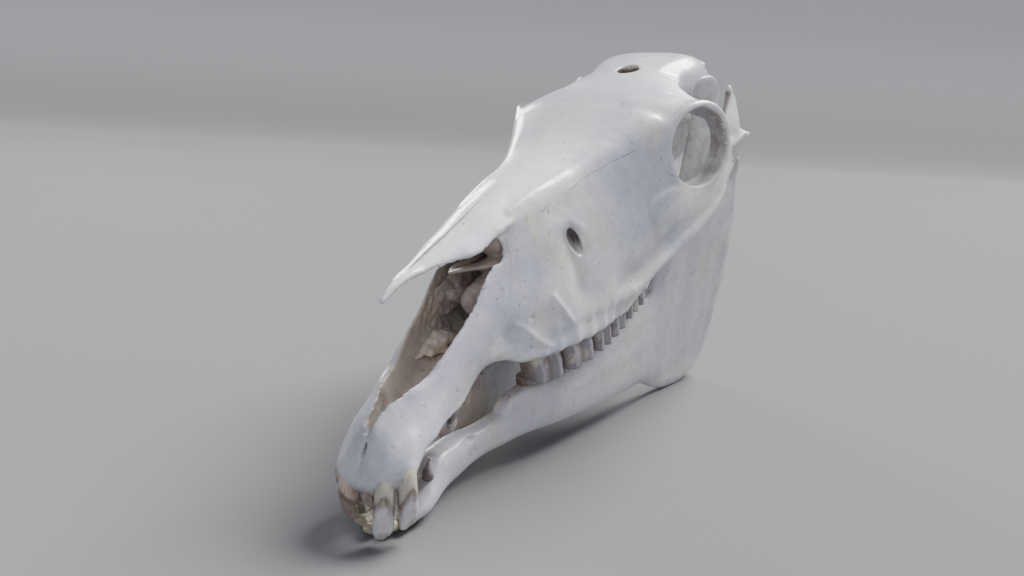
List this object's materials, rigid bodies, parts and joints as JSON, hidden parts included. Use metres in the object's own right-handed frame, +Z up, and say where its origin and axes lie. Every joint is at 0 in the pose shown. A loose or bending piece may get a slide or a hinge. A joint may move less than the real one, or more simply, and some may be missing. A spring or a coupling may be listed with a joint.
{
  "type": "horse skull",
  "caption": "Life-size horse skull with the lower jaw closed, bare bone with grinding and front teeth, lying level as on a museum table.",
  "frame": {"origin": "on the table under the middle of the skull's width and length", "axes": "+X to the animal's left, +Y from the nose to the nape, +Z up"},
  "size_m": [0.2178, 0.5236, 0.3463],
  "materials": {
    "cranium_bone": "dry bone, pale white, lightly polished",
    "mandible_bone": "dry bone, pale lilac grey, lightly polished"
  },
  "bodies": {
    "root": {"cranium": "cranium_bone", "mandible": "mandible_bone"}
  },
  "joints": []
}
